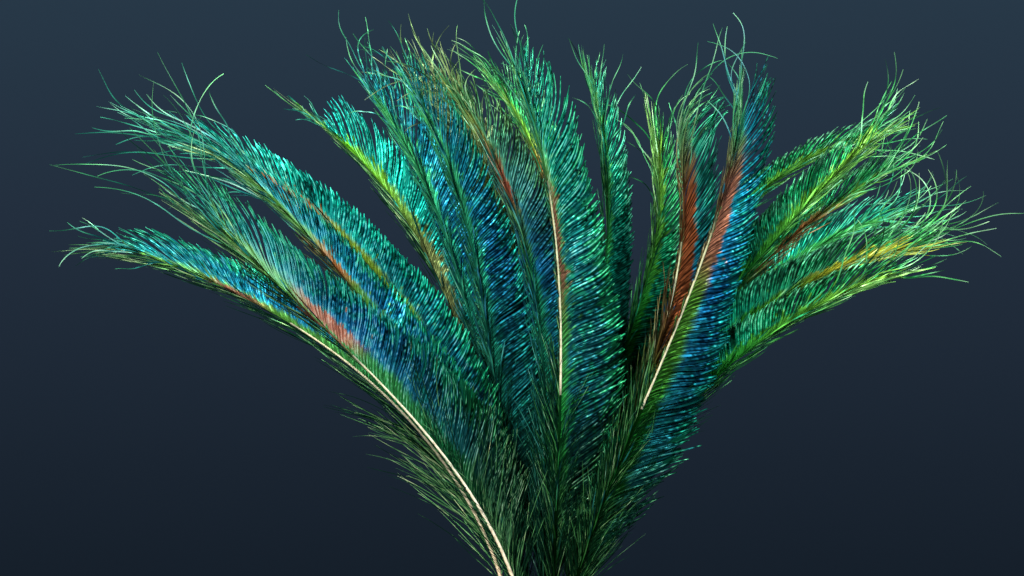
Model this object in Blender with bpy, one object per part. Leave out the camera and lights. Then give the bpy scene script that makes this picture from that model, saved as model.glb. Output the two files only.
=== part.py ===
"""Bunch of peacock sword feathers standing in a plain stoneware vase.

Frame: +Z up, origin at the centre of the vase's foot, +Y away from the viewer. Lengths are in
millimetres and angles in degrees until they are written into a mesh. Every feather lies on a
curved sheet of its own, and the sheets fan out from the mouth one behind the other, so that the
feathers overlap as they do in a bunch and still never touch.
"""

import math
from collections import namedtuple

import bmesh
import bpy

MILLIMETRE = 0.001

# Vase: heights and outer radii of its turned outline, foot first.
FOOT_RADIUS = 43.0
BELLY_HEIGHT = 62.0
BELLY_RADIUS = 61.0
NECK_HEIGHT = 140.0
NECK_RADIUS = 32.5
MOUTH_HEIGHT = 165.0
MOUTH_RADIUS = 37.0
VASE_WALL = 4.0
VASE_FLOOR = 7.0
VASE_SEGMENTS = 28

# How the stems stand in the vase: rows of two, front to back, leaning by group.
ROW_PITCH = 4.4
ROW_OF_AXIS = 5
PAIR_OFFSET = 0.5
STEM_DEPTH = 145.0
STEM_LEAN = {"left": -13.0, "middle": 0.0, "right": 13.0}

# The fan of sheets: depth of the first and the last one at a set distance from the mouth, and
# the height over which they open across as well.
FAN_HALF_DEPTH = 126.0
FAN_REACH = 350.0
FAN_EASING = 8.0
FAN_OPENING = 20.0

# Shaft and vanes of one feather.
QUILL_RADIUS = 1.4
TIP_RADIUS = 0.45
STATIONS = 23
VANE_START = 28.0
VANE_RAMP = 90.0
VANE_THICKNESS = 0.8
BROAD_SWEEP_LOW = 42.0
BROAD_SWEEP_HIGH = 12.0
NARROW_SWEEP = 15.0
TIP_TAPER = 0.2
NOTCH_LOW = 0.86
NOTCH_HIGH = 0.42
BRUSH_REACH = 1.7
LOCK_RELIEF = 1.6

# Colours of the vanes, linear, and of the vase.
TEAL = (0.010, 0.235, 0.260)
BLUE = (0.008, 0.150, 0.330)
GREEN = (0.015, 0.240, 0.090)
OLIVE = (0.090, 0.130, 0.030)
LIME = (0.120, 0.350, 0.040)
SLATE = (0.045, 0.050, 0.058)

Feather = namedtuple(
    "Feather", "name column length mid_lean tip_lean broad_side barb narrow brush curl colour"
)

# Front to back. column: place across the mouth; length: mouth to end of shaft; leans: heading
# of the shaft halfway and at its end, + to the right; broad_side: +1 right of the shaft, -1 left;
# barb, narrow, brush: length of the barbs of the broad vane, of the narrow one and of the brush
# at the tip; curl: how far that brush turns over, + to the right.
FEATHERS = (
    Feather("right_1", 11, 301, 22, 9, 1, 50, 40, 36, 0, BLUE),
    Feather("right_6", 15, 267, 40, 68, -1, 34, 38, 34, 0, GREEN),
    Feather("left_2", -15, 279, -41, -44, 1, 58, 58, 56, -10, TEAL),
    Feather("left_3", -11, 298, -33, -44, 1, 40, 40, 42, -12, BLUE),
    Feather("middle_1", 3, 302, 0, -18, 1, 58, 40, 32, 0, TEAL),
    Feather("middle_2", -3, 294, -4, -31, 1, 50, 40, 34, 0, BLUE),
    Feather("right_3", 11, 287, 19, -10, 1, 44, 40, 44, 75, OLIVE),
    Feather("right_2", 15, 297, 39, 76, -1, 38, 46, 44, 0, LIME),
    Feather("left_4", -15, 336, -30, -68, 1, 38, 40, 46, -4, GREEN),
    Feather("left_7", -11, 310, -8, -27, 1, 50, 40, 34, 0, BLUE),
    Feather("middle_3", 3, 304, 11, -14, 1, 32, 40, 30, 10, GREEN),
    Feather("middle_4", -3, 309, -8, -24, -1, 46, 40, 36, 0, OLIVE),
    Feather("right_5", 11, 339, 35, 45, -1, 30, 40, 30, 10, GREEN),
    Feather("right_4", 15, 324, 35, 58, -1, 30, 40, 34, 0, OLIVE),
    Feather("left_6", -11, 316, -13, -33, 1, 50, 40, 34, 0, TEAL),
    Feather("left_5", -15, 324, -18, -52, 1, 50, 40, 18, 10, LIME),
    Feather("middle_5", 3, 281, 22, -5, 1, 36, 40, 34, 0, GREEN),
    Feather("middle_6", -3, 319, 2, -33, 1, 48, 40, 28, 0, GREEN),
    Feather("left_8", -11, 310, -4, -30, 1, 50, 40, 36, 0, OLIVE),
    Feather("left_1", -24, 330, -50, -70, 1, 44, 56, 34, -26, TEAL),
    Feather("right_7", 11, 363, 29, 72, -1, 26, 40, 32, 0, LIME),
    Feather("right_8", 15, 320, 39, 70, -1, 38, 40, 40, 0, GREEN),
)


def mix(low, high, amount):
    """Value between low and high."""
    return low + (high - low) * amount


def ease(amount):
    """Smooth step from 0 to 1, flat at both ends."""
    amount = min(max(amount, 0.0), 1.0)
    return amount * amount * (3.0 - 2.0 * amount)


def make_material(name, colour, roughness, metallic):
    """Principled material of one plain colour."""
    material = bpy.data.materials.new(name)
    material.use_nodes = True
    shader = material.node_tree.nodes["Principled BSDF"]
    shader.inputs["Base Color"].default_value = (*colour, 1.0)
    shader.inputs["Roughness"].default_value = roughness
    shader.inputs["Metallic"].default_value = metallic
    return material


def add_object(name, mesh_builder, material, crease_angle):
    """Turn a bmesh into a named, smooth-shaded object and link it to the scene."""
    bmesh.ops.recalc_face_normals(mesh_builder, faces=mesh_builder.faces)
    mesh = bpy.data.meshes.new(name)
    mesh_builder.to_mesh(mesh)
    mesh_builder.free()
    mesh.materials.append(material)
    mesh.shade_smooth()
    mesh.set_sharp_from_angle(angle=math.radians(crease_angle))
    part = bpy.data.objects.new(name, mesh)
    bpy.context.scene.collection.objects.link(part)
    return part


# ------------------------------------------------------------------ vase


def vase_radius(height):
    """Outer radius of the vase, which swells to its belly, narrows to its neck and flares."""
    if height <= BELLY_HEIGHT:
        return mix(FOOT_RADIUS, BELLY_RADIUS, math.sin(0.5 * math.pi * height / BELLY_HEIGHT))
    if height <= NECK_HEIGHT:
        return mix(BELLY_RADIUS, NECK_RADIUS, ease((height - BELLY_HEIGHT) / (NECK_HEIGHT - BELLY_HEIGHT)))
    flare = (height - NECK_HEIGHT) / (MOUTH_HEIGHT - NECK_HEIGHT)
    return mix(NECK_RADIUS, MOUTH_RADIUS, flare * flare)


def vase_outline():
    """Points (radius, height) of the wall, from the centre of the foot to that of the floor."""
    heights = [BELLY_HEIGHT * step / 3 for step in range(3)]
    heights += [mix(BELLY_HEIGHT, NECK_HEIGHT, step / 4) for step in range(5)]
    heights.append(MOUTH_HEIGHT)
    outside = [(vase_radius(height), height) for height in heights]
    inside_heights = [VASE_FLOOR] + heights[1:]
    inside = [(vase_radius(height) - VASE_WALL, height) for height in inside_heights]
    return [(0.0, 0.0)] + outside + inside[::-1] + [(0.0, VASE_FLOOR)]


def build_vase():
    """Turn the outline once about the upright axis."""
    builder = bmesh.new()
    corners = [
        builder.verts.new((radius * MILLIMETRE, 0.0, height * MILLIMETRE))
        for radius, height in vase_outline()
    ]
    edges = [builder.edges.new(pair) for pair in zip(corners, corners[1:])]
    bmesh.ops.spin(
        builder,
        geom=corners + edges,
        axis=(0.0, 0.0, 1.0),
        cent=(0.0, 0.0, 0.0),
        angle=2.0 * math.pi,
        steps=VASE_SEGMENTS,
        use_merge=True,
    )
    bmesh.ops.remove_doubles(builder, verts=builder.verts, dist=0.01 * MILLIMETRE)
    add_object("vase", builder, make_material("slate_stoneware", SLATE, 0.6, 0.0), 40.0)


# ------------------------------------------------------------------ feathers


def sheet_depth(rank, x, height):
    """Y of the sheet of the feather with this rank, at a place in front view above the mouth."""
    row = rank // 2
    pair_side = 1.0 if rank % 2 else -1.0
    at_mouth = (row - ROW_OF_AXIS) * ROW_PITCH + pair_side * PAIR_OFFSET
    at_reach = mix(-FAN_HALF_DEPTH, FAN_HALF_DEPTH, rank / (len(FEATHERS) - 1))
    above = max(height, 0.0)
    across = x * min(above / FAN_OPENING, 1.0)
    distance = math.hypot(across, above, FAN_EASING) - FAN_EASING
    return mix(at_mouth, at_reach, distance / FAN_REACH)


def heading(feather, along):
    """Heading of the shaft in degrees from upright, a smooth curve through its three leans."""
    root = stem_lean(feather)
    bend = 2.0 * (root - 2.0 * feather.mid_lean + feather.tip_lean)
    slope = 4.0 * feather.mid_lean - 3.0 * root - feather.tip_lean
    return root + slope * along + bend * along * along


def stem_lean(feather):
    """Lean of the bare quill, shared by the feathers of one group."""
    group = feather.name.split("_")[0]
    return STEM_LEAN[group]


def shaft_stations(feather):
    """Stations (distance from the mouth, x, height, heading) from the foot of the quill up."""
    lean = math.radians(stem_lean(feather))
    foot_x = feather.column - STEM_DEPTH * math.tan(lean)
    stations = [(-STEM_DEPTH / math.cos(lean), foot_x, -STEM_DEPTH, lean)]
    x, height = feather.column, 0.0
    step = feather.length / STATIONS
    for index in range(STATIONS + 1):
        stations.append((index * step, x, height, math.radians(heading(feather, index / STATIONS))))
        course = math.radians(heading(feather, (index + 0.5) / STATIONS))
        x += step * math.sin(course)
        height += step * math.cos(course)
    return stations


def vane_edge(x, height, course, side, sweep, reach):
    """Place of a barb's end: it leaves the shaft to one side, swept forward by an angle."""
    angle = course + side * math.radians(sweep)
    return x + reach * math.sin(angle), height + reach * math.cos(angle)


def feather_ring(feather, rank, index, station):
    """Eight corners around the shaft, the first and the fifth drawn out into the two vanes."""
    distance, x, height, course = station
    along = max(distance, 0.0) / feather.length
    radius = mix(QUILL_RADIUS, TIP_RADIUS, along)
    growth = ease((distance - VANE_START) / VANE_RAMP)
    notch = 1.0 if index % 2 else mix(NOTCH_LOW, NOTCH_HIGH, along)
    relief = LOCK_RELIEF * along * (-1.0 if index % 2 else 1.0)
    broad_sweep = mix(BROAD_SWEEP_LOW, BROAD_SWEEP_HIGH, along * along)
    broad = mix(radius, feather.barb * notch * (1.0 - TIP_TAPER * along * along), growth)
    narrow = mix(radius, feather.narrow * notch, growth)
    root = mix(math.sqrt(0.5) * radius, 0.5 * VANE_THICKNESS, growth)
    upright = 90.0
    side = feather.broad_side
    broad_end = vane_edge(x, height, course, side, mix(upright, broad_sweep, growth), broad)
    narrow_end = vane_edge(x, height, course, -side, mix(upright, NARROW_SWEEP, growth), narrow)
    broad_root = vane_edge(x, height, course, side, upright, math.sqrt(0.5) * radius)
    narrow_root = vane_edge(x, height, course, -side, upright, math.sqrt(0.5) * radius)
    corners = (
        (broad_end, relief),
        (broad_root, -root),
        ((x, height), -radius),
        (narrow_root, -root),
        (narrow_end, relief),
        (narrow_root, root),
        ((x, height), radius),
        (broad_root, root),
    )
    return [
        (place[0], sheet_depth(rank, *place) + lift, place[1] + MOUTH_HEIGHT)
        for place, lift in corners
    ]


def build_feather(rank, feather):
    """Loft one feather, quill, shaft, both vanes and the brush at its tip, as one closed body."""
    builder = bmesh.new()
    stations = shaft_stations(feather)
    rings = []
    for index, station in enumerate(stations):
        corners = feather_ring(feather, rank, index, station)
        rings.append([builder.verts.new([value * MILLIMETRE for value in corner]) for corner in corners])
    for lower, upper in zip(rings, rings[1:]):
        for corner in range(len(lower)):
            following = (corner + 1) % len(lower)
            builder.faces.new((lower[corner], lower[following], upper[following], upper[corner]))
    builder.faces.new(rings[0])
    _, x, height, course = stations[-1]
    end = vane_edge(x, height, course, 1.0, 0.5 * feather.curl, BRUSH_REACH * feather.brush)
    apex = builder.verts.new(
        [value * MILLIMETRE for value in (end[0], sheet_depth(rank, *end), end[1] + MOUTH_HEIGHT)]
    )
    for corner in range(len(rings[-1])):
        following = (corner + 1) % len(rings[-1])
        builder.faces.new((rings[-1][corner], rings[-1][following], apex))
    bmesh.ops.triangulate(builder, faces=builder.faces)
    material = make_material("vane_" + feather.name, feather.colour, 0.4, 0.5)
    add_object("feather_" + feather.name, builder, material, 50.0)


def clear_scene():
    """Remove whatever the scene holds."""
    for old in list(bpy.data.objects):
        bpy.data.objects.remove(old, do_unlink=True)


clear_scene()
build_vase()
for feather_rank, feather_row in enumerate(FEATHERS):
    build_feather(feather_rank, feather_row)
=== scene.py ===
import math
from collections import namedtuple

import bpy
import numpy as np
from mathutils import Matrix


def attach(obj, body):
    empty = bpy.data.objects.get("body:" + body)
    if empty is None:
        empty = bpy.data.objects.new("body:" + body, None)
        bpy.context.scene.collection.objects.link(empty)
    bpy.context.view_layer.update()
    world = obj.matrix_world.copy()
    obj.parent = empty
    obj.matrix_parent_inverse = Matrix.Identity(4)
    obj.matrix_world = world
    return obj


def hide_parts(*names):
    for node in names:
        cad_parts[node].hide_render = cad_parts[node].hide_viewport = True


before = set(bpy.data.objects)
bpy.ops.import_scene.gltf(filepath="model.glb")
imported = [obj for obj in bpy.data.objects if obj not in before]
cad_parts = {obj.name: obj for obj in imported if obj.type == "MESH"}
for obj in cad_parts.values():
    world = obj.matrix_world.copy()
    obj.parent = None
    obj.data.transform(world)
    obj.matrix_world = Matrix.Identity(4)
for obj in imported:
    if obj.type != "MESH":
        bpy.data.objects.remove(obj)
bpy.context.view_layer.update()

# ---------------------------------------------------------------- the vase
# A small table vase, thrown on the wheel in dark stoneware and fired with a thin slate glaze.
# The turning leaves faint rings in the wall, and the foot is wiped clean, so bare clay shows there.

# Sizes are in millimetres, and angles in degrees where no comment says radians. MM makes metres.
MM = 0.001
FOOT_RADIUS = 43.0
FOOT_EDGE = 1.5
BELLY_HEIGHT = 62.0
BELLY_RADIUS = 61.0
NECK_HEIGHT = 140.0
NECK_RADIUS = 32.5
MOUTH_HEIGHT = 165.0
MOUTH_RADIUS = 37.0
LIP_ROUND = 1.6
VASE_WALL = 4.0
VASE_FLOOR = 7.0
FLOOR_CORNER = 3.0
RING_PITCH = 4.6
RING_DEPTH = 0.16
WIPED_HEIGHT = 4.5

# Sizes of the glaze's soft clouds and of its iron specks, which are drawn coarser than real ones so
# that they show.
GLAZE_CLOUD = 38.46
GLAZE_SPECK = 1.111

# Fineness of the vase's mesh: steps of height outside and inside, and steps round the lip and round.
WALL_STEP = 1.45
HOLLOW_STEP = 3.0
LIP_STEPS = 10
VASE_SIDES = 96


def mix(low, high, amount):
    """Value between low and high."""
    return low + (high - low) * amount


def ease(amount):
    """Smooth step from 0 to 1, flat at both ends, for one value or many."""
    amount = np.clip(amount, 0.0, 1.0)
    return amount * amount * (3.0 - 2.0 * amount)


def linear(colour):
    """Linear RGBA of an sRGB hex colour."""
    parts = [int(colour[place : place + 2], 16) / 255.0 for place in (1, 3, 5)]
    return [part / 12.92 if part <= 0.04045 else ((part + 0.055) / 1.055) ** 2.4 for part in parts] + [1.0]


def add_node(tree, kind, settings=None, links=None, stops=()):
    """Add a node.

    settings: its inputs, by name with a capital or by number, and its own properties; links: the
    sockets that feed its inputs; stops: places and sRGB hex colours of a colour ramp. A mix of
    colours has its factor at input 0 and its two colours at 6 and 7, and gives output 2.
    """
    node = tree.nodes.new(kind)
    for name, value in (settings or {}).items():
        if isinstance(name, int) or name[0].isupper():
            node.inputs[name].default_value = value
        else:
            setattr(node, name, value)
    for name, socket in (links or {}).items():
        tree.links.new(socket, node.inputs[name])
    for step, (place, colour) in enumerate(stops):
        marks = node.color_ramp.elements
        mark = marks[step] if step < 2 else marks.new(place)
        mark.position = place
        mark.color = linear(colour)
    return node


def vase_radius(height):
    """Outer radius of the vase, which swells to its belly, narrows to its neck and flares."""
    if height <= BELLY_HEIGHT:
        return mix(FOOT_RADIUS, BELLY_RADIUS, math.sin(0.5 * math.pi * height / BELLY_HEIGHT))
    if height <= NECK_HEIGHT:
        return mix(BELLY_RADIUS, NECK_RADIUS, ease((height - BELLY_HEIGHT) / (NECK_HEIGHT - BELLY_HEIGHT)))
    flare = (height - NECK_HEIGHT) / (MOUTH_HEIGHT - NECK_HEIGHT)
    return mix(NECK_RADIUS, MOUTH_RADIUS, flare * flare)


def vase_outline():
    """Points (radius, height) from the centre of the foot, over the rounded lip, to the floor."""
    points = [
        (0.0, 0.0),
        (0.5 * FOOT_RADIUS, 0.0),
        (FOOT_RADIUS - FOOT_EDGE, 0.0),
        (FOOT_RADIUS - 0.2 * FOOT_EDGE, FOOT_EDGE / 3.0),
    ]
    for height in np.arange(FOOT_EDGE, MOUTH_HEIGHT - LIP_ROUND, WALL_STEP):
        ring = RING_DEPTH * math.cos(2.0 * math.pi * height / RING_PITCH)
        points.append((vase_radius(height) + ring, height))
    lip_radius = MOUTH_RADIUS - 0.5 * VASE_WALL
    lip_height = MOUTH_HEIGHT - LIP_ROUND
    for step in range(1, LIP_STEPS):
        angle = math.pi * step / LIP_STEPS
        out = 0.5 * VASE_WALL * math.cos(angle)
        points.append((lip_radius + out, lip_height + LIP_ROUND * math.sin(angle)))
    for height in np.arange(lip_height, VASE_FLOOR + FLOOR_CORNER, -HOLLOW_STEP):
        points.append((vase_radius(height) - VASE_WALL, height))
    points += [(FOOT_RADIUS - VASE_WALL - FLOOR_CORNER, VASE_FLOOR), (0.0, VASE_FLOOR)]
    return np.array(points)


def slate_glaze():
    """Thin slate glaze, fired on stoneware: satin, in soft clouds with paler iron specks, and brown
    where the wiped foot shows the bare clay."""
    material = bpy.data.materials.new("slate_glaze_on_stoneware")
    material.use_nodes = True
    tree = material.node_tree
    shader = tree.nodes["Principled BSDF"]
    place = add_node(tree, "ShaderNodeTexCoord").outputs["Object"]
    clouds = {"Scale": 1.0 / (GLAZE_CLOUD * MM), "Detail": 4.0}
    cloud = add_node(tree, "ShaderNodeTexNoise", clouds, {"Vector": place}).outputs[0]
    specks = {"Scale": 1.0 / (GLAZE_SPECK * MM), "Detail": 2.0}
    speck = add_node(tree, "ShaderNodeTexNoise", specks, {"Vector": place}).outputs[0]
    slate = [(0.30, "#2b3138"), (0.55, "#3a424b"), (0.75, "#4a535b")]
    body = add_node(tree, "ShaderNodeValToRGB", links={0: cloud}, stops=slate).outputs[0]
    few = [(0.60, "#000000"), (0.70, "#ffffff")]
    dots = add_node(tree, "ShaderNodeValToRGB", links={0: speck}, stops=few).outputs[0]
    iron = {"data_type": "RGBA", 7: linear("#6d6a60")}
    speckled = add_node(tree, "ShaderNodeMix", iron, {0: dots, 6: body}).outputs[2]
    height = add_node(tree, "ShaderNodeSeparateXYZ", links={0: place}).outputs["Z"]
    wiping = {
        "From Max": WIPED_HEIGHT * MM,
        "To Min": 1.0,
        "To Max": 0.0,
        "interpolation_type": "SMOOTHSTEP",
    }
    wiped = add_node(tree, "ShaderNodeMapRange", wiping, {"Value": height}).outputs[0]
    bare_clay = {"data_type": "RGBA", 7: linear("#7a6a58")}
    clay = add_node(tree, "ShaderNodeMix", bare_clay, {0: wiped, 6: speckled}).outputs[2]
    tree.links.new(clay, shader.inputs["Base Color"])
    satin = {"From Min": 0.3, "From Max": 0.7, "To Min": 0.34, "To Max": 0.52}
    rough = add_node(tree, "ShaderNodeMapRange", satin, {"Value": cloud}).outputs[0]
    tree.links.new(rough, shader.inputs["Roughness"])
    return material


def grid(rows, columns, closed=False):
    """Corners of the faces between neighbouring rows of points, and how far along and across the
    grid each corner lies, from 0 to 1. closed joins the row ends."""
    steps = columns if closed else columns - 1
    row, column = np.meshgrid(np.arange(rows - 1), np.arange(steps), indexing="ij")
    down = np.stack([row, row, row + 1, row + 1], axis=-1).reshape(-1, 4)
    right = np.stack([column, column + 1, column + 1, column], axis=-1).reshape(-1, 4)
    return down * columns + right % columns, np.stack([down / (rows - 1), right / steps], axis=-1)


def quad_mesh(name, points, quads, places):
    """Smooth mesh of four-cornered faces, from its points in millimetres, the corner numbers of its
    faces and the place of each corner on the unfolded sheet."""
    mesh = bpy.data.meshes.new(name)
    mesh.vertices.add(len(points))
    mesh.vertices.foreach_set("co", (np.asarray(points, np.float32) * MM).ravel())
    mesh.loops.add(quads.size)
    mesh.loops.foreach_set("vertex_index", quads.astype(np.int32).ravel())
    mesh.polygons.add(len(quads))
    mesh.polygons.foreach_set("loop_start", np.arange(0, quads.size, 4, dtype=np.int32))
    mesh.update(calc_edges=True)
    mesh.shade_smooth()
    mesh.uv_layers.new(name="OFBake").data.foreach_set("uv", places.astype(np.float32).ravel())
    return mesh


outline = vase_outline()
turn = 2.0 * math.pi * np.arange(VASE_SIDES) / VASE_SIDES
vase_rings = np.stack(
    [
        outline[:, :1] * np.cos(turn),
        outline[:, :1] * np.sin(turn),
        np.repeat(outline[:, 1:], VASE_SIDES, axis=1),
    ],
    axis=-1,
)
vase_faces, vase_places = grid(len(outline), VASE_SIDES, closed=True)
vase_mesh = quad_mesh("vase_glazed", vase_rings.reshape(-1, 3), vase_faces, vase_places)
vase_mesh.materials.append(slate_glaze())
vase = bpy.data.objects.new("vase_glazed", vase_mesh)
bpy.context.scene.collection.objects.link(vase)
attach(vase, "root")
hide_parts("vase")

# ---------------------------------------------------------------- the feathers
# Sword feathers from the side of the train. Each is one growth: a pale horny shaft with a broad
# vane of long barbs on its outer side, a narrow one on its inner side, and loose barbs at its end.

# How the quills stand in the vase: their depth under the mouth, their lean by group, and the rows
# of two that they stand in, front to back.
STEM_DEPTH = 145.0
STEM_LEAN = {"left": -13.0, "middle": 0.0, "right": 13.0}
ROW_PITCH = 4.4
ROW_OF_AXIS = 5
PAIR_OFFSET = 0.5

# The fan: each feather lies in a curved sheet of its own. Depth of the first and last sheet at a
# set distance from the mouth, and the height over which the sheets open across as well.
FAN_HALF_DEPTH = 126.0
FAN_REACH = 350.0
FAN_EASING = 8.0
FAN_OPENING = 20.0
REAR_LIMIT = 138.0
FRONT_LIMIT = -134.0

QUILL_RADIUS = 1.4
TIP_RADIUS = 0.45

Feather = namedtuple("Feather", "name rank column length mid_lean tip_lean side barb narrow brush curl look")
Look = namedtuple(
    "Look",
    "hue band gain pitch sweep strands plain patch bare hook worn crest breadth wisp",
    defaults=(1.0, 1.45, 64, 14, 0.4, None, (0.0, 0.0), 0.0, 0.3, 1.0, 1.0, 1.0),
)

# name; rank from the front; place across the mouth, length and leans of the shaft; side of the
# broad vane; width of the broad vane as a length of slanted barb; lengths of the barbs of the
# narrow vane and of the brush at the tip; how far that brush curls over. Then the look: hue of
# the barbs; share of each barb in the inner band; brightness; spacing of the barbs and their angle
# from the shaft; number of loose strands at the tip; how plain the narrow vane is; copper patch
# (colour, its middle and half length along the shaft, its start and end along the barbs); stretch
# of the shaft that no barb lies over; degrees the strands hook round; share of their length that
# the narrow barbs keep along that stretch; length of the last broad barbs against the brush;
# breadth of the broad vane against its solid; length of the strands against the brush.
FEATHERS = (
    Feather("right_1", 0, 11, 301, 22, 9, 1, 50, 40, 36, 0, Look(
        "lake", 0.30, 0.95, 1.45, 66, 8, 0.4, ("#b07860", 0.82, 0.13, 0.0, 0.38), (0.42, 0.82))),
    Feather("right_6", 1, 15, 267, 40, 68, -1, 34, 38, 34, 0, Look(
        "green", 0.3, plain=0.45, bare=(0.34, 0.42), hook=-20.0)),
    Feather("left_2", 2, -15, 279, -41, -44, 1, 58, 58, 56, -10, Look(
        "sea", 0.24, 1.55, 1.25, 62, 26, 0.9, ("#d08870", 0.74, 0.085, 0.08, 0.34), (0.0, 0.66), 8.0, 0.12)),
    Feather("left_3", 3, -11, 298, -33, -44, 1, 40, 40, 42, -12, Look(
        "sky", 0.2, 1.35, 1.25, 56, 26, 0.5, ("#c08048", 0.80, 0.045, 0.0, 0.22), hook=-10.0, breadth=0.85)),
    Feather("middle_1", 4, 3, 302, 0, -18, 1, 58, 40, 32, 0, Look(
        "marine", 0.15, 1.25, 1.5, 72, 14, 0.4, ("#8a6850", 0.72, 0.14, 0.0, 0.12), (0.42, 0.84),
        8.0, wisp=1.2)),
    Feather("middle_2", 5, -3, 294, -4, -31, 1, 50, 40, 34, 0, Look(
        "fern", 0.16, plain=0.1, patch=("#a86048", 0.87, 0.05, 0.0, 0.2))),
    Feather("right_3", 6, 11, 287, 19, -10, 1, 44, 40, 44, 75, Look(
        "bronze", 0.3, 0.9, 1.4, 50, 8, 0.3, ("#8c5030", 0.77, 0.24, 0.0, 0.42), (0.60, 0.80))),
    Feather("right_2", 7, 15, 297, 39, 76, -1, 38, 46, 44, 0, Look(
        "gold", 0.22, 1.0, 1.45, 56, 30, 0.3, ("#c8d038", 0.94, 0.12, 0.0, 0.3), hook=-25.0)),
    Feather("left_4", 8, -15, 336, -30, -68, 1, 38, 40, 46, -4, Look(
        "teal", 0.2, 1.3, 1.5, 66, 26, 0.5, ("#b87848", 0.87, 0.09, 0.0, 0.24), hook=6.0)),
    Feather("left_7", 9, -11, 310, -8, -27, 1, 50, 40, 34, 0, Look("blue", 0.2, plain=0.1)),
    Feather("middle_3", 10, 3, 304, 11, -14, 1, 32, 40, 30, 10, Look("jade", 0.2, 1.2, 1.45, 58, 10)),
    Feather("middle_4", 11, -3, 309, -8, -24, -1, 46, 40, 36, 0, Look("olive", 0.3)),
    Feather("right_5", 12, 11, 339, 35, 45, -1, 30, 40, 30, 10, Look(
        "green", 0.3, plain=0.3, breadth=1.3)),
    Feather("right_4", 13, 15, 324, 35, 58, -1, 30, 40, 34, 0, Look(
        "green", 0.2, strands=22, plain=0.2, patch=("#d08848", 0.80, 0.11, 0.0, 0.3), hook=-20.0)),
    Feather("left_6", 14, -11, 316, -13, -33, 1, 50, 40, 34, 0, Look("blue", 0.2, plain=0.1)),
    Feather("left_5", 15, -15, 324, -18, -52, 1, 50, 40, 18, 10, Look(
        "lime", 0.28, 1.15, 1.6, 62, 10, 0.9, crest=0.35)),
    Feather("middle_5", 16, 3, 281, 22, -5, 1, 36, 40, 34, 0, Look("green", 0.3)),
    Feather("middle_6", 17, -3, 319, 2, -33, 1, 48, 40, 28, 0, Look(
        "green", 0.2, patch=("#8f6a34", 0.8, 0.1, 0.0, 0.3))),
    Feather("left_8", 18, -11, 310, -4, -30, 1, 50, 40, 36, 0, Look(
        "olive", 0.3, 1.0, 1.45, 64, 34, 0.9)),
    Feather("left_1", 19, -24, 330, -50, -70, 1, 44, 56, 34, -26, Look(
        "sky", 0.2, 1.2, 1.3, 60, 16, 0.9, ("#9c7058", 0.80, 0.06, 0.0, 0.16), (0.0, 0.68), -12.0, 1.0)),
    Feather("right_7", 20, 11, 363, 29, 72, -1, 26, 40, 32, 0, Look(
        "green", 0.3, strands=20, plain=0.2, hook=-15.0)),
    Feather("right_8", 21, 15, 320, 39, 70, -1, 38, 40, 40, 0, Look(
        "jade", 0.25, strands=26, plain=0.2, hook=-25.0)),
)

# Three bands of the vane, each from the foot of the feather to its tip: beside the shaft, in the
# middle of the barbs, and at their ends. Each starts dark at the foot, partly the barbs' own colour
# and partly painted shade.
HUES = {
    "sea": (
        ("#123c20", "#1c7444", "#48b860", "#80c858"),
        ("#123c34", "#1c6c74", "#1c7cb8", "#20b4a4"),
        ("#124424", "#1c8450", "#20c4b0", "#30cc88"),
    ),
    "lake": (
        ("#10501c", "#1c7c2c", "#60a840", "#38b880"),
        ("#1c7060", "#20889c", "#1870b0", "#20b0cc"),
        ("#1c6a48", "#20a888", "#1cb0b8", "#28c890"),
    ),
    "sky": (
        ("#1c5a38", "#209c60", "#60b04c", "#74c858"),
        ("#1c7058", "#209c98", "#209cd8", "#24bcc4"),
        ("#1c7048", "#20b870", "#24dca8", "#34d0a8"),
    ),
    "blue": (
        ("#1c5a48", "#208c78", "#28a888", "#48d078"),
        ("#1c7058", "#208890", "#1c78b0", "#20b4c8"),
        ("#1c6a48", "#20a880", "#20bcac", "#38d098"),
    ),
    "marine": (
        ("#1c5a28", "#2cac50", "#5c9c50", "#50c060"),
        ("#1c6054", "#185c6c", "#1c7c84", "#20c4a8"),
        ("#1c7048", "#24b070", "#30c888", "#30d8a0"),
    ),
    "teal": (
        ("#1c5a28", "#40a840", "#88b038", "#94c850"),
        ("#1c7058", "#18708c", "#1c9ca4", "#20c8ac"),
        ("#1c7048", "#20b878", "#20f0cc", "#20f0dc"),
    ),
    "jade": (
        ("#0c6428", "#28a048", "#34b860", "#50d060"),
        ("#086040", "#109888", "#1cc0a0", "#24d0a0"),
        ("#0a6838", "#1cb888", "#30d0ac", "#5cc898"),
    ),
    "green": (
        ("#0c6428", "#1c9438", "#38b440", "#7cc440"),
        ("#086040", "#109868", "#18b888", "#30cc68"),
        ("#0a6838", "#1cb478", "#30cc90", "#70c890"),
    ),
    "gold": (
        ("#0c6428", "#1c9438", "#38b038", "#a0c030"),
        ("#086040", "#109868", "#18b088", "#40c860"),
        ("#0a6838", "#1cb478", "#30cc98", "#78c890"),
    ),
    "fern": (
        ("#1c5a48", "#208c78", "#28a070", "#98b050"),
        ("#1c7058", "#208890", "#1c78b0", "#50a868"),
        ("#1c6a48", "#20a880", "#20b898", "#78b870"),
    ),
    "olive": (
        ("#2a5a20", "#5c9434", "#88a040", "#90a058"),
        ("#1c6048", "#208078", "#40947c", "#80a068"),
        ("#1c6a48", "#209c78", "#60ac80", "#a0b078"),
    ),
    "bronze": (
        ("#2a4a18", "#4c5c20", "#705c28", "#50a870"),
        ("#083c34", "#0c4c50", "#1868a0", "#30b888"),
        ("#06382c", "#0c5c50", "#1888a0", "#38c890"),
    ),
    "lime": (
        ("#1c5420", "#50644c", "#788c54", "#80ff28"),
        ("#0c6c50", "#1498a8", "#1cc8c0", "#20dcc4"),
        ("#0a7048", "#1cb888", "#24dcb8", "#24e0d8"),
    ),
}


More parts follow.
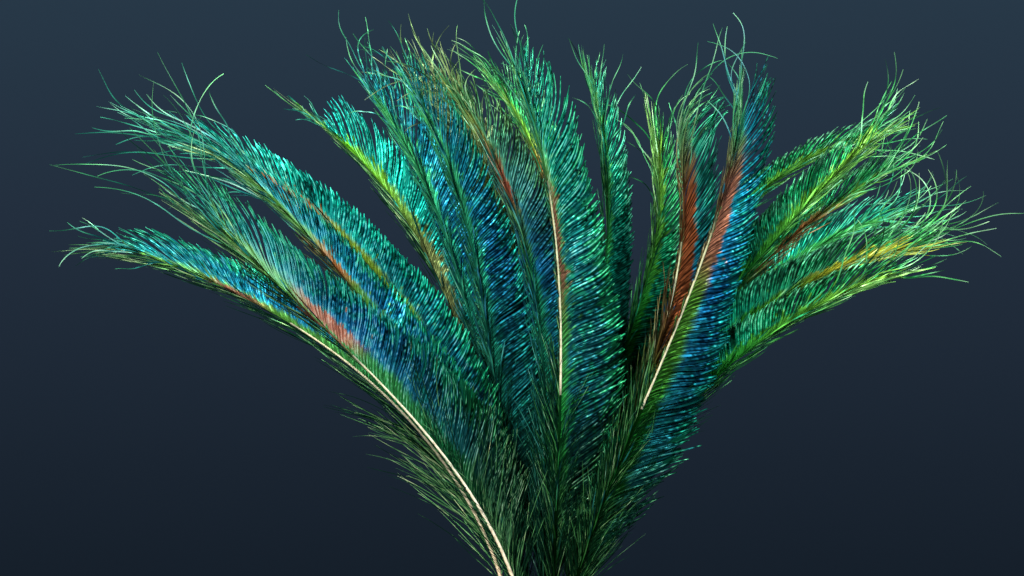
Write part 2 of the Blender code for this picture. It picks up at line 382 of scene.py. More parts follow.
def heading(feather, along):
    """Heading of the shaft in radians from upright, a smooth curve through its three leans."""
    root = STEM_LEAN[feather.name.split("_")[0]]
    bend = 2.0 * (root - 2.0 * feather.mid_lean + feather.tip_lean)
    slope = 4.0 * feather.mid_lean - 3.0 * root - feather.tip_lean
    return np.radians(root + slope * along + bend * along * along)


def sheet_depth(feather, x, height):
    """Y of the feather's own sheet at places in front view above the mouth."""
    pair_side = 1.0 if feather.rank % 2 else -1.0
    at_mouth = (feather.rank // 2 - ROW_OF_AXIS) * ROW_PITCH + pair_side * PAIR_OFFSET
    at_reach = mix(-FAN_HALF_DEPTH, FAN_HALF_DEPTH, feather.rank / (len(FEATHERS) - 1))
    above = np.maximum(height, 0.0)
    across = x * np.minimum(above / FAN_OPENING, 1.0)
    distance = np.sqrt(across * across + above * above + FAN_EASING**2) - FAN_EASING
    return mix(at_mouth, at_reach, distance / FAN_REACH)


def shaft_line(feather):
    """Distance from the mouth, x, height and heading at every millimetre or so of the shaft."""
    steps = int(feather.length)
    along = np.arange(steps + 1) / steps
    course = heading(feather, along)
    middle = heading(feather, along[:-1] + 0.5 / steps)
    stride = feather.length / steps
    x = feather.column + np.concatenate([[0.0], np.cumsum(stride * np.sin(middle))])
    height = np.concatenate([[0.0], np.cumsum(stride * np.cos(middle))])
    return along * feather.length, x, height, course


def smooth_noise(rng, places, spacing):
    """Smooth random values, one for each place, that change over about one spacing."""
    knots = np.arange(places.min() - spacing, places.max() + 2.0 * spacing, spacing)
    values = rng.normal(size=len(knots))
    cell = (places - knots[0]) / spacing
    left = np.floor(cell).astype(int)
    return mix(values[left], values[left + 1], ease(cell - left))


def ring_noise(rng, count, rings, reach):
    """Random values along each barb, alike over a few rings and unlike from barb to barb."""
    raw = rng.normal(size=(count, rings + 2 * reach))
    weights = np.hanning(2 * reach + 3)[1:-1]
    weights /= math.sqrt((weights**2).sum())
    return sum(weight * raw[:, step : step + rings] for step, weight in enumerate(weights))


# For each kind of barb: rings along it, points across it, how far its look follows the broad vane
# outward, how little structure colour it has at its root and at its end (None: as the narrow
# vane), how far it wanders from its course and how far it rolls about itself, in radians, and the
# power of the distance along it by which it lifts (0: all of it at the root).
Kind = namedtuple(
    "Kind", "rings columns reached plain_root plain_end wander roll lifting", defaults=(1.6,)
)
KINDS = {
    "broad": Kind(30, 3, 1.0, 0.0, 0.0, 0.03, 0.25),
    "under": Kind(12, 2, 1.0, 0.0, 0.0, 0.01, 0.1),
    "narrow": Kind(18, 2, 0.25, None, None, 0.03, 0.3),
    "cover": Kind(14, 2, 0.5, 0.1, 0.1, 0.03, 0.3, 0.0),
    "strand": Kind(36, 2, 1.0, 0.0, 0.5, 0.16, 0.3),
    "down": Kind(20, 2, 0.25, None, None, 0.05, 0.3),
}
CURL_START = 0.84


def grow_barbs(feather, line, rng, kind, roots, side, length, sweeps, curl, lift, width, swirl=0.0):
    """Points of barbs: barb, ring from root to end, place across the barb, coordinate.

    side: 1 or -1, the side of the shaft; sweeps: degrees from the shaft at the root, in the middle
    and at the end; curl: degrees over the length; lift: how far the end lies behind the sheet;
    swirl: degrees more where the outer half turns with its neighbours. Each is one number for all
    the barbs or one for each of them.
    """
    form = KINDS[kind]
    count = len(roots)
    along = np.linspace(0.0, 1.0, form.rings)[None, :]
    distance, shaft_x, shaft_height, shaft_course = line

    def per_barb(values):
        return np.broadcast_to(values, count)[:, None]

    course = per_barb(np.interp(roots, distance, shaft_course))
    course = course + form.wander * ring_noise(rng, count, form.rings, 8)
    at_root, at_middle, at_end = (per_barb(sweep) for sweep in sweeps)
    outer = ease((along - 0.5) / 0.5)
    sweep = mix(mix(at_root, at_middle, ease(along / 0.45)), at_end, outer) + per_barb(swirl) * outer
    tip_curl = feather.curl * ease((roots / feather.length - CURL_START) / (1.0 - CURL_START))
    turn = course + per_barb(side) * np.radians(sweep)
    turn = turn + np.radians(per_barb(tip_curl) * along + per_barb(curl) * along**2)
    stride = per_barb(length) / (form.rings - 1)
    middle = 0.5 * (turn[:, 1:] + turn[:, :-1])
    start = np.zeros((count, 1))
    x = np.hstack([start, np.cumsum(stride * np.sin(middle), axis=1)])
    x = x + per_barb(np.interp(roots, distance, shaft_x))
    height = np.hstack([start, np.cumsum(stride * np.cos(middle), axis=1)])
    height = height + per_barb(np.interp(roots, distance, shaft_height))
    depth = sheet_depth(feather, x, height) + per_barb(lift) * along**form.lifting
    depth = np.clip(depth, FRONT_LIMIT, REAR_LIMIT)
    tilt = 0.6 * rng.normal(size=(count, 1)) + ring_noise(rng, count, form.rings, 2)
    roll = form.roll * (1.0 + tilt)
    half = 0.5 * per_barb(width) * mix(0.5, 1.0, ease(along / 0.3)) * (1.0 - 0.7 * along**8)
    corners = []
    for offset in np.linspace(-1.0, 1.0, form.columns):
        flat = offset * half * np.cos(roll)
        deep = depth - offset * half * np.sin(roll)
        up = height - flat * np.sin(turn) + MOUTH_HEIGHT
        corners.append(np.stack([x + flat * np.cos(turn), deep, up], axis=-1))
    return np.stack(corners, axis=2)


def barb_layer(feather, line, rng, kind, roots, glints, **shape):
    """One layer of barbs: its kind, its points, where each barb roots and how bright its rings are, in
    painted glints and shade.
    """
    return kind, grow_barbs(feather, line, rng, kind, roots, **shape), roots, glints


def smooth_part(look):
    """Share of each barb of the broad vane, from its root, that lies smooth in its band."""
    return look.patch[4] if look.patch else 0.6 * look.band


# Where the broad vane changes, as a place along the shaft: it is ragged and parted below the first
# two, passes into the brush of the tip above the third, and comes loose above the fourth.
RAGGED_BELOW = 0.42
PARTED_BELOW = 0.36
BRUSH_START = 0.86
LOOSE_ABOVE = 0.88

# The broad vane at places along its shaft: sweep of the barbs at their root, in degrees, and in
# their middle and at their end, as shares of the look's sweep; breadth of the vane, as a share of
# its barbs' length; and brightness, darker toward the foot as painted shade and lighter toward the
# tip as painted light.
BROAD_START = 30.0
SWEEP_PLACES = (0.0, 0.3, 0.5, 0.72, 0.86, 1.0)
ROOT_SWEEPS = (20.0, 32.0, 38.0, 32.0, 14.0, 3.0)
MIDDLE_SWEEPS = (0.50, 0.80, 1.0, 0.88, 0.48, 0.12)
END_SWEEPS = (0.45, 0.60, 0.72, 0.54, 0.20, 0.04)
BREADTH_PLACES = (0.1, 0.3, 0.5, 0.62, 0.75, 0.86, 0.95)
BREADTHS = (0.48025, 0.6215, 0.5989, 0.4859, 0.41245, 0.3277, 0.2373)
LIGHT_PLACES = (0.1, 0.35, 0.55, 0.7, 0.86)
LIGHTS = (0.60, 0.84, 0.92, 1.0, 1.2)


def broad_glints(feather, rng, roots, drift, loosening, ragged):
    """How bright each ring of each barb of the broad vane is, as painted glints and painted shade: even
    beside the shaft, glittering from barbule to barbule further out. Real barbules are finer than a
    ring, and wouldn't show."""
    count = len(roots)
    rings = KINDS["broad"].rings
    out = np.linspace(0.0, 1.0, rings)[None, :]
    texture = ring_noise(rng, count, rings, 0 if feather.barb > 45 else 1)
    texture *= mix(0.8, 1.2, ease((out - 0.45) / 0.3))
    texture += mix(0.35, 0.9, loosening)[:, None] * rng.normal(size=(count, 1))
    texture += 0.3 * smooth_noise(rng, roots, 6.0)[:, None]
    texture += 0.4 * smooth_noise(rng, roots, 14.0)[:, None] * np.sin(3.0 * out + drift[:, None])
    texture *= 1.0 + 0.5 * ragged[:, None]
    textured = ease((out - smooth_part(feather.look)) / 0.2)
    return mix(0.60, 0.57, textured) + mix(0.07, 0.18, textured) * texture


def broad_vane(feather, line, rng):
    """Two layers: the broad vane's own barbs, which part at the foot and come loose at the tip, and
    a thin dark layer behind them, painted shade that shows between them and closes the vane."""
    look = feather.look
    roots = np.arange(BROAD_START, feather.length, look.pitch)
    count = len(roots)
    roots = roots + rng.normal(0.0, 0.1 * look.pitch, count)
    place = roots / feather.length
    loosening = ease((place - LOOSE_ABOVE) / (1.0 - LOOSE_ABOVE))
    ragged = ease((RAGGED_BELOW - place) / 0.22)
    parted = np.maximum(loosening, 0.8 * ease((PARTED_BELOW - place) / 0.2))
    waves = smooth_noise(rng, roots, 9.0)
    drift = smooth_noise(rng, roots, 26.0)
    bend = 1.2 * waves + 2.5 * drift + rng.normal(0.0, mix(1.0, 2.5, loosening), count)
    at_root = np.interp(place, SWEEP_PLACES, ROOT_SWEEPS)
    at_middle = look.sweep * np.interp(place, SWEEP_PLACES, MIDDLE_SWEEPS) + bend
    at_end = look.sweep * np.interp(place, SWEEP_PLACES, END_SWEEPS) + bend
    shares = ((0.25, at_root), (0.45, at_middle), (0.3, at_end))
    slant = sum(share * np.sin(np.radians(sweep)) for share, sweep in shares)
    breadth = look.breadth * feather.barb * np.interp(place, BREADTH_PLACES, BREADTHS)
    reach = breadth / slant.clip(0.2)
    to_brush = ease((place - BRUSH_START) / (1.0 - BRUSH_START))
    reach = mix(reach, look.crest * feather.brush, to_brush)
    uneven = 0.02 + 0.06 * loosening + 0.09 * ragged
    behind = 2.5 * waves + 3.0 * drift
    lit = look.gain * np.interp(place, LIGHT_PLACES, LIGHTS)
    glints = broad_glints(feather, rng, roots, drift, loosening, ragged)
    barbs = barb_layer(
        feather, line, rng, "broad", roots, glints * lit[:, None],
        side=feather.side,
        length=reach * (1.0 + 0.02 * waves + 0.03 * drift) * (1.0 + uneven * rng.normal(0.0, 1.0, count)),
        sweeps=(at_root + rng.normal(0.0, 0.6, count), at_middle, at_end),
        swirl=(3.0 * smooth_noise(rng, roots, 6.0) + rng.normal(0.0, 4.0, count)) * (1.0 + ragged),
        curl=rng.normal(0.0, mix(2.0, 10.0, loosening), count) + 3.0 * waves,
        lift=behind + rng.normal(0.0, 0.7, count),
        width=1.3 * look.pitch * np.sin(np.radians(at_middle)).clip(0.42)
        * rng.uniform(0.9, 1.1, count) * mix(1.0, 0.5, parted),
    )
    # The layer behind: painted shade, dark barbs behind every second barb in the middle of the vane.
    every_second = np.arange(count) % 2 == 0
    some = np.flatnonzero(every_second & (place > 0.24) & (place < BRUSH_START))
    shade = 0.34 + 0.03 * rng.normal(size=(len(some), KINDS["under"].rings))
    under = barb_layer(
        feather, line, rng, "under", roots[some], shade * lit[some, None],
        side=feather.side,
        length=0.93 * reach[some],
        sweeps=(at_root[some], at_middle[some], at_end[some]),
        curl=0.0,
        lift=behind[some] + 1.6,
        width=2.6 * look.pitch * mix(1.0, 0.5, ease((place[some] - 0.66) / 0.2)),
    )
    return barbs, under


NARROW_BARBS = 150
NARROW_START = 24.0


def narrow_vane(feather, line, rng):
    """The narrow vane: fine barbs close along the inner side, mostly worn short where the shaft is
    bare."""
    look = feather.look
    count = NARROW_BARBS
    roots = np.sort(rng.uniform(NARROW_START, feather.length, count))
    place = roots / feather.length
    comb = smooth_noise(rng, roots, 12.0)
    kept = mix(1.0, look.worn, ease(np.minimum(place - look.bare[0], look.bare[1] - place) / 0.05))
    # Their tone: dark, partly the plain barbs' own dull colour and partly painted shade, lighter toward the
    # tip, with sparse pale painted highlights.
    glints = (
        mix(0.34, 0.12, look.plain)
        + 0.25 * ease((place[:, None] - 0.75) / 0.2)
        + 0.16 * np.abs(ring_noise(rng, count, KINDS["narrow"].rings, 1))
        + 0.30 * (rng.uniform(size=(count, 1)) < 0.3 * look.plain)
    )
    return barb_layer(
        feather, line, rng, "narrow", roots, glints,
        side=-feather.side,
        length=feather.narrow * kept * rng.uniform(0.85, 1.2, count),
        sweeps=(
            mix(10.0, 4.0, place) + rng.normal(0.0, 1.2, count),
            mix(16.0, 8.0, place) + 2.0 * comb + rng.normal(0.0, 1.2, count),
            mix(13.0, 4.0, place) + 2.0 * comb + rng.normal(0.0, 2.0, count),
        ),
        curl=rng.normal(0.0, 4.0, count),
        lift=rng.normal(0.0, 2.0, count),
        width=rng.uniform(0.35, 0.6, count),
    )


COVER_BARBS = 40
COVER_START = 16.0


def shaft_cover(feather, line, rng):
    """Short barbs that lie along the shaft, in front and behind, except where it is bare."""
    full = feather.length
    bare = feather.look.bare
    roots = rng.uniform(COVER_START, full, COVER_BARBS)
    roots = roots[(roots < bare[0] * full) | (roots > bare[1] * full)]
    count = len(roots)
    glints = 0.36 + 0.15 * ring_noise(rng, count, KINDS["cover"].rings, 2)
    return barb_layer(
        feather, line, rng, "cover", roots, glints,
        side=rng.choice([-1.0, 1.0], count),
        length=rng.uniform(22.0, 44.0, count),
        sweeps=(
            rng.uniform(-3.0, 4.0, count),
            rng.uniform(2.0, 9.0, count),
            rng.uniform(4.0, 14.0, count),
        ),
        curl=rng.normal(0.0, 6.0, count),
        lift=rng.choice([-1.0, 1.0], count) * rng.uniform(1.4, 2.2, count),
        width=rng.uniform(0.6, 1.0, count),
    )


STRAND_STRETCH = 34.0
STRAND_BUNDLES = 5


def tip_strands(feather, line, rng):
    """Long loose strands of the tip, in a few bundles that spread and hook over."""
    look = feather.look
    count = look.strands
    roots = feather.length - STRAND_STRETCH * rng.uniform(size=count) ** 1.5
    bundle = rng.normal(0.0, 14.0, STRAND_BUNDLES)[rng.integers(0, STRAND_BUNDLES, count)]
    # Their tone wavers along each strand, as painted glints.
    waver = 0.12 * ring_noise(rng, count, KINDS["strand"].rings, 5)
    return barb_layer(
        feather, line, rng, "strand", roots, 0.57 + waver + 0.10 * rng.normal(size=(count, 1)),
        side=feather.side,
        length=look.wisp * feather.brush * rng.uniform(1.0, 2.1, count),
        sweeps=(
            bundle * 0.3 + rng.normal(2.0, 3.0, count),
            bundle + rng.normal(4.0, 5.0, count),
            bundle * 1.4 + rng.normal(4.0, 8.0, count),
        ),
        swirl=rng.normal(0.0, 12.0, count),
        curl=rng.normal(look.hook, 28.0, count),
        lift=rng.normal(0.0, 8.0, count),
        width=rng.uniform(0.45, 0.75, count),
    )


DOWN_BARBS = 165
DOWN_START = 2.0
DOWN_END = 110.0


def foot_down(feather, line, rng):
    """Down at the foot, on both sides. Where the shaft lies bare from the foot up, the inner side is
    worn away or spreads as a bright fringe."""
    look = feather.look
    count = DOWN_BARBS
    roots = np.sort(rng.uniform(DOWN_START, DOWN_END, count))
    parting = smooth_noise(rng, roots, 15.0)
    inward = rng.uniform(size=count) < 0.5
    fringed = inward & (look.bare[0] < 0.1 < look.bare[1])
    kept = np.where(fringed, look.worn, 1.0)
    fringe = look.plain * kept * fringed
    splay = 16.0 + 12.0 * look.plain + 6.0 * fringe + 6.0 * parting + rng.normal(0.0, 4.0, count)
    # Their tone: dark, partly the down's own dull colour and partly painted shade, with sparse pale dashes
    # as painted glints, more of them on the inner side and in the fringe.
    bright = np.where(inward, 0.1 + 0.15 * look.plain + 0.35 * fringe, 0.08)
    glints = (
        0.13
        + 0.18 * np.abs(ring_noise(rng, count, KINDS["down"].rings, 1))
        + 0.35 * (rng.uniform(size=(count, 1)) < bright[:, None])
    )
    return barb_layer(
        feather, line, rng, "down", roots, glints,
        side=np.where(inward, -feather.side, feather.side),
        length=feather.narrow * kept * rng.uniform(0.8, 1.4, count),
        sweeps=(rng.uniform(6.0, 12.0, count), splay, splay + rng.normal(0.0, 6.0, count)),
        curl=rng.normal(0.0, 6.0, count),
        lift=rng.normal(-2.0, 5.0, count),
        width=rng.uniform(0.24, 0.42, count) * kept * (1.0 + 0.4 * fringe),
    )


# The shaft: its sides, the points of its line from ring to ring, its share of the unfolded sheet in
# strips, the rings of its quill, and its radius at places along it and at its very end.
SHAFT_SIDES = 10
SHAFT_STEP = 5
SHAFT_STRIPS = 4
QUILL_RINGS = 3
RADIUS_PLACES = (0.0, 0.12, 0.4, 1.0)
RADII = (QUILL_RADIUS, 0.95, 0.70, TIP_RADIUS)
END_RADIUS = 0.05

# Its horn opens over this length at the ends of a bare stretch. Its grain is drawn coarser than
# real, so that it shows.
BARE_EASING = 12.0
HORN_GRAIN = 2.381

# Where barbs cover the shaft, it takes their hue at one place across the vane, in painted shade that
# is darkest at the foot and gets brighter between two places along it.
COVERED_ACROSS = 0.08
COVERED_PLACES = (0.3, 0.6)
COVERED_LIGHTS = (0.15, 0.42)


def shaft_points(feather, line):
    """Rings of points of the shaft, from the foot of the quill in the vase to its end, and how far
    along the feather each ring lies."""
    distance, x, height, course = (values[::SHAFT_STEP] for values in line)
    lean = course[0]
    foot_x = feather.column - STEM_DEPTH * math.tan(lean)
    x = np.concatenate([[foot_x], x])
    height = np.concatenate([[-STEM_DEPTH], height])
    course = np.concatenate([[lean], course])
    along = np.concatenate([[0.0], distance / feather.length])
    radius = np.interp(along, RADIUS_PLACES, RADII)
    radius[-1] = END_RADIUS
    angle = 2.0 * math.pi * np.arange(SHAFT_SIDES) / SHAFT_SIDES
    out = radius[:, None] * np.cos(angle)
    rings = np.stack(
        [
            x[:, None] + out * np.cos(course[:, None]),
            sheet_depth(feather, x, height)[:, None] + radius[:, None] * np.sin(angle),
            height[:, None] - out * np.sin(course[:, None]) + MOUTH_HEIGHT,
        ],
        axis=-1,
    )
    return rings, along


# What the materials read at each point: how far along the feather and how far out in the vane it
# lies, how bright it is in painted glints and shade (on the shaft, how open it lies, with painted
# shade where it closes), and how little structure colour it has.
VALUES = ("along", "across", "tone", "loose")


def horn():
    """Horn of the shaft, as it grew: smooth, with a dull shine, greenish ivory with darker streaks,
    and dark green where barbs close over it: their colour and painted shade."""
    material = bpy.data.materials.new("ivory_horn_of_the_shaft")
    material.use_nodes = True
    tree = material.node_tree
    shader = tree.nodes["Principled BSDF"]
    along = add_node(tree, "ShaderNodeAttribute", {"attribute_name": "along"}).outputs["Fac"]
    open_part = add_node(tree, "ShaderNodeAttribute", {"attribute_name": "tone"}).outputs["Fac"]
    place = add_node(tree, "ShaderNodeTexCoord").outputs["Object"]
    pale = [(0.0, "#c8b898"), (0.3, "#dcd8bc"), (0.7, "#b8bc94"), (1.0, "#889060")]
    ivory = add_node(tree, "ShaderNodeValToRGB", links={0: along}, stops=pale).outputs[0]
    streaks = {"Scale": 1.0 / (HORN_GRAIN * MM), "Detail": 3.0}
    grain = add_node(tree, "ShaderNodeTexNoise", streaks, {"Vector": place}).outputs[0]
    fine = [(0.35, "#8a7a5c"), (0.6, "#ffffff")]
    streak = add_node(tree, "ShaderNodeValToRGB", links={0: grain}, stops=fine).outputs[0]
    darken = {"data_type": "RGBA", "blend_type": "MULTIPLY", 0: 0.45}
    streaked = add_node(tree, "ShaderNodeMix", darken, {6: ivory, 7: streak}).outputs[2]
    # Painted shade: dark green where barbs close over the shaft, fading to the horn as it opens.
    covered = {"data_type": "RGBA", 6: linear("#0a2418")}
    shown = add_node(tree, "ShaderNodeMix", covered, {0: open_part, 7: streaked}).outputs[2]
    tree.links.new(shown, shader.inputs["Base Color"])
    shader.inputs["Roughness"].default_value = 0.42
    return material


# Places along the feather of the four hues of a band; sizes of the wander of the bands' borders and
# of the flecks in the middle band, which stand for patches of a few barbules each.
HUE_PLACES = (0.08, 0.40, 0.70, 1.0)
BORDER_WANDER = 22.22
FLECK_SIZE = 5.882


def barb_sheen(feather):
    """Barbs of keratin, as they grew: fine layers over a nearly black ground give structure colour,
    which changes along and across the vane; its glitter from barbule to barbule is painted glints
    and painted shade."""
    material = bpy.data.materials.new("iridescent_barbs_" + feather.name)
    material.use_nodes = True
    tree = material.node_tree
    shader = tree.nodes["Principled BSDF"]
    look = feather.look
    along, across, tone, loose = (
        add_node(tree, "ShaderNodeAttribute", {"attribute_name": name}).outputs["Fac"] for name in VALUES
    )
    place = add_node(tree, "ShaderNodeTexCoord").outputs["Object"]

    # The place across the vane, shifted a little so that the bands' borders wander.
    clouds = {"Scale": 1.0 / (BORDER_WANDER * MM), "Detail": 3.0}
    cloud = add_node(tree, "ShaderNodeTexNoise", clouds, {"Vector": place}).outputs[0]
    centred = {"operation": "MULTIPLY_ADD", 1: 0.3, 2: -0.15}
    shift = add_node(tree, "ShaderNodeMath", centred, {0: cloud}).outputs[0]
    out = add_node(tree, "ShaderNodeMath", {"operation": "ADD"}, {0: across, 1: shift}).outputs[0]

    # Three bands, the middle one flecked with the outer one's hue.
    bands = []
    for hues in HUES[look.hue]:
        stops = list(zip(HUE_PLACES, hues))
        bands.append(add_node(tree, "ShaderNodeValToRGB", links={0: along}, stops=stops).outputs[0])
    borders = []
    for low, high in ((look.band - 0.06, look.band + 0.10), (0.66, 0.92)):
        border = {"From Min": low, "From Max": high, "interpolation_type": "SMOOTHSTEP"}
        borders.append(add_node(tree, "ShaderNodeMapRange", border, {"Value": out}).outputs[0])
    flecks = {"Scale": 1.0 / (FLECK_SIZE * MM), "Detail": 2.0}
    fleck = add_node(tree, "ShaderNodeTexNoise", flecks, {"Vector": place}).outputs[0]
    few = {"From Min": 0.48, "From Max": 0.68, "To Max": 0.5}
    fleck = add_node(tree, "ShaderNodeMapRange", few, {"Value": fleck}).outputs[0]
    rgba = {"data_type": "RGBA"}
    flecked = add_node(tree, "ShaderNodeMix", rgba, {0: fleck, 6: bands[1], 7: bands[2]}).outputs[2]
    colour = add_node(tree, "ShaderNodeMix", rgba, {0: borders[0], 6: bands[0], 7: flecked}).outputs[2]
    colour = add_node(tree, "ShaderNodeMix", rgba, {0: borders[1], 6: colour, 7: bands[2]}).outputs[2]

    # The copper patch, soft at its edges.
    if look.patch:
        hue, middle, half, start, end = look.patch
        spans = ((along, middle, half, 0.6), (out, 0.5 * (start + end), 0.5 * (end - start), 0.3))
        inside = []
        for source, centre, extent, soft in spans:
            from_centre = {"operation": "SUBTRACT", 1: centre}
            off = add_node(tree, "ShaderNodeMath", from_centre, {0: source}).outputs[0]
            off = add_node(tree, "ShaderNodeMath", {"operation": "ABSOLUTE"}, {0: off}).outputs[0]
            edge = {
                "From Min": (1.0 - soft) * extent,
                "From Max": extent + 0.03,
                "To Min": 1.0,
                "To Max": 0.0,
                "interpolation_type": "SMOOTHSTEP",
            }
            inside.append(add_node(tree, "ShaderNodeMapRange", edge, {"Value": off}).outputs[0])
        both = {"operation": "MULTIPLY"}
        share = add_node(tree, "ShaderNodeMath", both, {0: inside[0], 1: inside[1]}).outputs[0]
        copper = {"data_type": "RGBA", 7: linear(hue)}
        colour = add_node(tree, "ShaderNodeMix", copper, {0: share, 6: colour}).outputs[2]

    # Painted glitter: painted shade, nearly black, between the barbules, full colour on them and a pale
    # painted highlight on the brightest.
    greys = [(0.0, "#1c1c1c"), (0.3, "#4c4c4c"), (0.6, "#a8a8a8"), (0.85, "#e2e2e2")]
    painted_glitter = add_node(tree, "ShaderNodeValToRGB", links={0: tone}, stops=greys).outputs[0]
    dimmed = {"data_type": "RGBA", "blend_type": "MULTIPLY", 0: 1.0}
    shaded = add_node(tree, "ShaderNodeMix", dimmed, {6: colour, 7: painted_glitter}).outputs[2]
    brightest = {"From Min": 0.75, "From Max": 1.05, "To Max": 0.45}
    painted_highlight = add_node(tree, "ShaderNodeMapRange", brightest, {"Value": tone}).outputs[0]
    glint = {"data_type": "RGBA", 7: linear("#a0dcd0")}
    shaded = add_node(tree, "ShaderNodeMix", glint, {0: painted_highlight, 6: shaded}).outputs[2]

    # Loose barbs and down have less structure colour, and show as dull green straw, nearly black in
    # painted shade and pale in painted highlights.
    dull = [(0.0, "#020a06"), (0.35, "#0a2a1c"), (0.6, "#4c8450"), (1.0, "#b8d0a0")]
    straw = add_node(tree, "ShaderNodeValToRGB", links={0: tone}, stops=dull).outputs[0]
    shaded = add_node(tree, "ShaderNodeMix", rgba, {0: loose, 6: shaded, 7: straw}).outputs[2]
    tree.links.new(shaded, shader.inputs["Base Color"])
    shader.inputs["Metallic"].default_value = 0.3
    shader.inputs["Specular IOR Level"].default_value = 0.0
    shader.inputs["Specular Tint"].default_value = linear("#20c0a0")
    shader.inputs["Roughness"].default_value = 0.4
    return material


def shaft_part(feather, line):
    """The shaft: points, faces, places on the unfolded sheet, the materials' values at the points,
    and which faces show bare horn."""
    rings, along = shaft_points(feather, line)
    start, end = feather.look.bare
    inside = np.minimum(along - start, end - along) * feather.length
    quill = np.arange(len(rings)) < QUILL_RINGS
    bare = (inside > 0.0) | quill
    opening = np.where(quill, 1.0, ease(inside / BARE_EASING))
    covered = np.interp(along, COVERED_PLACES, COVERED_LIGHTS)
    tone = np.where(bare, opening, covered)
    values = [along, np.full(len(rings), COVERED_ACROSS), tone, np.zeros(len(rings))]
    values = [np.repeat(value, SHAFT_SIDES) for value in values]
    faces, places = grid(len(rings), SHAFT_SIDES, closed=True)
    part = rings.reshape(-1, 3), faces, places * (1.0, SHAFT_STRIPS), values
    return part, np.repeat(bare[:-1], SHAFT_SIDES)


def layer_part(feather, rng, kind, ribbons, roots, glints):
    """One layer of barbs: points, faces, places on the unfolded sheet, where each barb has a strip
    with a thin margin, and the materials' values at the points."""
    form = KINDS[kind]
    look = feather.look
    count = len(roots)
    order = np.arange(count)[:, None, None]
    faces, places = grid(form.rings, form.columns)
    quads = (order * form.rings * form.columns + faces).reshape(-1, 4)
    margin = 0.04
    strips = places * (1.0, 1.0 - 2.0 * margin) + (0.0, margin) + order[..., None] * (0.0, 1.0)
    place = (roots / feather.length)[:, None, None]
    out = np.linspace(0.0, 1.0, form.rings)[None, :, None]
    textured = ease((out - smooth_part(look)) / 0.2)
    shimmer = 0.10 * ring_noise(rng, count, form.rings, 2)[:, :, None] * mix(0.2, 1.0, textured)
    whole = np.ones((count, form.rings, form.columns))
    tone = glints[:, :, None] * whole
    plain_root = look.plain if form.plain_root is None else form.plain_root
    plain_end = look.plain if form.plain_end is None else form.plain_end
    loose = mix(plain_root, plain_end, out)
    if kind == "broad":
        # Painted shade on the edges of each broad barb, leaving a lit ridge down its middle, more so further
        # out.
        tone[:, :, ::2] *= mix(0.75, 0.35, textured)
        loose = loose + 0.4 * ease((PARTED_BELOW - place) / 0.2)
    along = (place + 0.08 * out).clip(0.0, 1.0)
    across = form.reached * out + shimmer
    values = [(value * whole).ravel() for value in (along, across, tone.clip(0.0, 1.0), loose)]
    return ribbons.reshape(-1, 3), quads, strips.reshape(-1, 4, 2), values


def feather_mesh(feather, name):
    """Mesh of one whole feather, its shaft first and then its barbs, layer by layer; and which faces
    of the shaft show bare horn."""
    rng = np.random.default_rng(100 + feather.rank)
    line = shaft_line(feather)
    shaft, bare = shaft_part(feather, line)
    layers = [
        *broad_vane(feather, line, rng),
        narrow_vane(feather, line, rng),
        shaft_cover(feather, line, rng),
        tip_strands(feather, line, rng),
        foot_down(feather, line, rng),
    ]
    parts = [shaft]
    first_point = len(shaft[0])
    first_strip = SHAFT_STRIPS
    for kind, ribbons, roots, glints in layers:
        points, quads, strips, values = layer_part(feather, rng, kind, ribbons, roots, glints)
        parts.append((points, quads + first_point, strips + (0.0, first_strip), values))
        first_point += len(points)
        first_strip += len(roots)
    points, quads, strips, values = zip(*parts)
    sheet = np.concatenate(strips) / (1.0, first_strip)
    mesh = quad_mesh(name, np.concatenate(points), np.concatenate(quads), sheet)
    for value_name, pieces in zip(VALUES, zip(*values)):
        attribute = mesh.attributes.new(value_name, "FLOAT", "POINT")
        attribute.data.foreach_set("value", np.concatenate(pieces).astype(np.float32))
    return mesh, bare


ivory_horn = horn()
for feather in FEATHERS:
    node = "feather_" + feather.name
    mesh, bare = feather_mesh(feather, node + "_barbed")
    mesh.materials.append(barb_sheen(feather))
    mesh.materials.append(ivory_horn)
    slots = np.zeros(len(mesh.polygons), np.int32)
    slots[: len(bare)] = bare
    mesh.polygons.foreach_set("material_index", slots)
    piece = bpy.data.objects.new(node + "_barbed", mesh)
    bpy.context.scene.collection.objects.link(piece)
    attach(piece, "root")
    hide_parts(node)

# ---------------------------------------------------------------- the studio
# A pale round table top under the vase, a dark grey-blue room, a big soft lamp high on the left,
# a weaker one on the right and one behind. The camera stands level with the middle of the fan.

TABLE_RADIUS = 360.0
TABLE_GAP = 0.3
LAMP_TARGET = (0.0, 0.0, 360.0)
CAMERA_DISTANCE = 1500.0
CAMERA_X = -21.6
CAMERA_ABOVE_MOUTH = 192.6
FRAME_WIDTH = 614.4
SENSOR_WIDTH = 36.0


def matt_paper():
    """Matt paper on the table top: pale and even, with no gloss."""
    material = bpy.data.materials.new("pale_paper")
    material.use_nodes = True
    shader = material.node_tree.nodes["Principled BSDF"]
    shader.inputs["Base Color"].default_value = linear("#b8b6b0")
    shader.inputs["Roughness"].default_value = 0.9
    return material


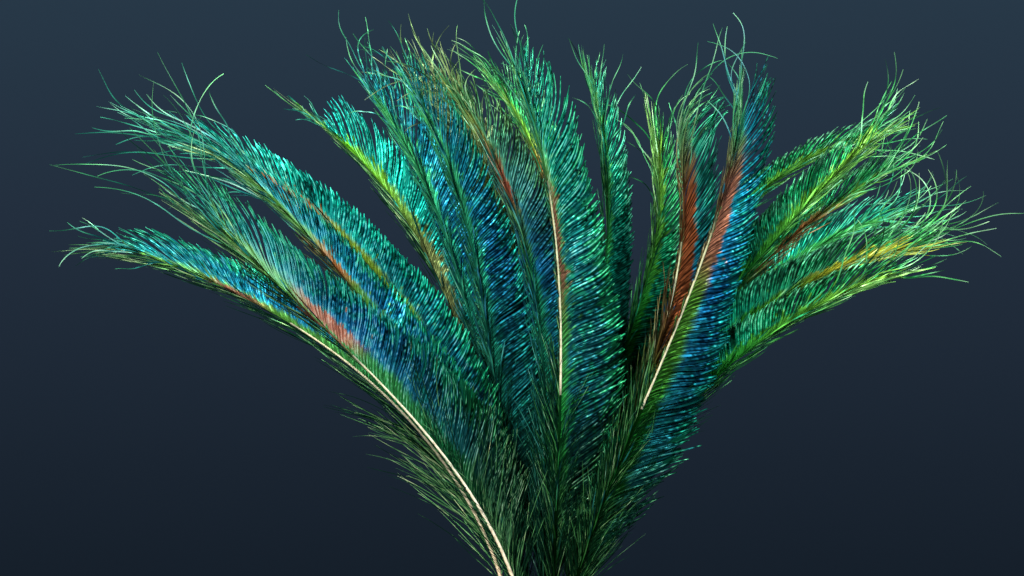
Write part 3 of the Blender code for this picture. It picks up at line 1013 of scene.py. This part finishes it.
def dark_room():
    """Dark painted room: grey-blue, a little lighter above the horizon than below."""
    world = bpy.data.worlds.new("dark_room")
    world.use_nodes = True
    tree = world.node_tree
    direction = add_node(tree, "ShaderNodeTexCoord").outputs["Generated"]
    upward = add_node(tree, "ShaderNodeSeparateXYZ", links={0: direction}).outputs["Z"]
    horizon = {"From Min": -0.14, "From Max": 0.14}
    level = add_node(tree, "ShaderNodeMapRange", horizon, {"Value": upward}).outputs[0]
    blues = [(0.0, "#131c26"), (0.25, "#1a2430"), (0.6, "#232f3e"), (1.0, "#293b4a")]
    wall = add_node(tree, "ShaderNodeValToRGB", links={0: level}, stops=blues).outputs[0]
    tree.links.new(wall, tree.nodes["Background"].inputs["Color"])
    tree.nodes["Background"].inputs["Strength"].default_value = 1.0
    return world


def add_lamp(name, place, size, power, colour):
    """Square soft lamp, aimed at the middle of the fan. Place and size are in millimetres."""
    data = bpy.data.lights.new(name, "AREA")
    data.size = size * MM
    data.energy = power
    data.color = linear(colour)[:3]
    lamp = bpy.data.objects.new(name, data)
    bpy.context.scene.collection.objects.link(lamp)
    lamp.location = np.array(place) * MM
    direction = np.array(LAMP_TARGET) - np.array(place)
    level = math.hypot(direction[0], direction[1])
    turn = math.atan2(direction[1], direction[0]) - 0.5 * math.pi
    lamp.rotation_euler = (math.atan2(level, -direction[2]), 0.0, turn)


bpy.ops.mesh.primitive_circle_add(
    vertices=128, radius=TABLE_RADIUS * MM, fill_type="NGON", location=(0.0, 0.0, -TABLE_GAP * MM)
)
floor = bpy.context.object
floor.name = "floor"
floor.data.materials.append(matt_paper())
bpy.context.scene.world = dark_room()
add_lamp("key_lamp", (-900.0, -1500.0, 1500.0), 500.0, 105.0, "#fff6ea")
add_lamp("fill_lamp", (1300.0, -1200.0, 900.0), 600.0, 45.0, "#e8f0ff")
add_lamp("back_lamp", (300.0, 1600.0, 1200.0), 700.0, 75.0, "#ffffff")

camera_data = bpy.data.cameras.new("camera")
camera_data.sensor_width = SENSOR_WIDTH
camera_data.lens = SENSOR_WIDTH * CAMERA_DISTANCE / FRAME_WIDTH
camera = bpy.data.objects.new("camera", camera_data)
bpy.context.scene.collection.objects.link(camera)
camera.location = (CAMERA_X * MM, -CAMERA_DISTANCE * MM, (MOUTH_HEIGHT + CAMERA_ABOVE_MOUTH) * MM)
camera.rotation_euler = (0.5 * math.pi, 0.0, 0.0)
bpy.context.scene.camera = camera
bpy.context.scene.view_settings.view_transform = "Standard"
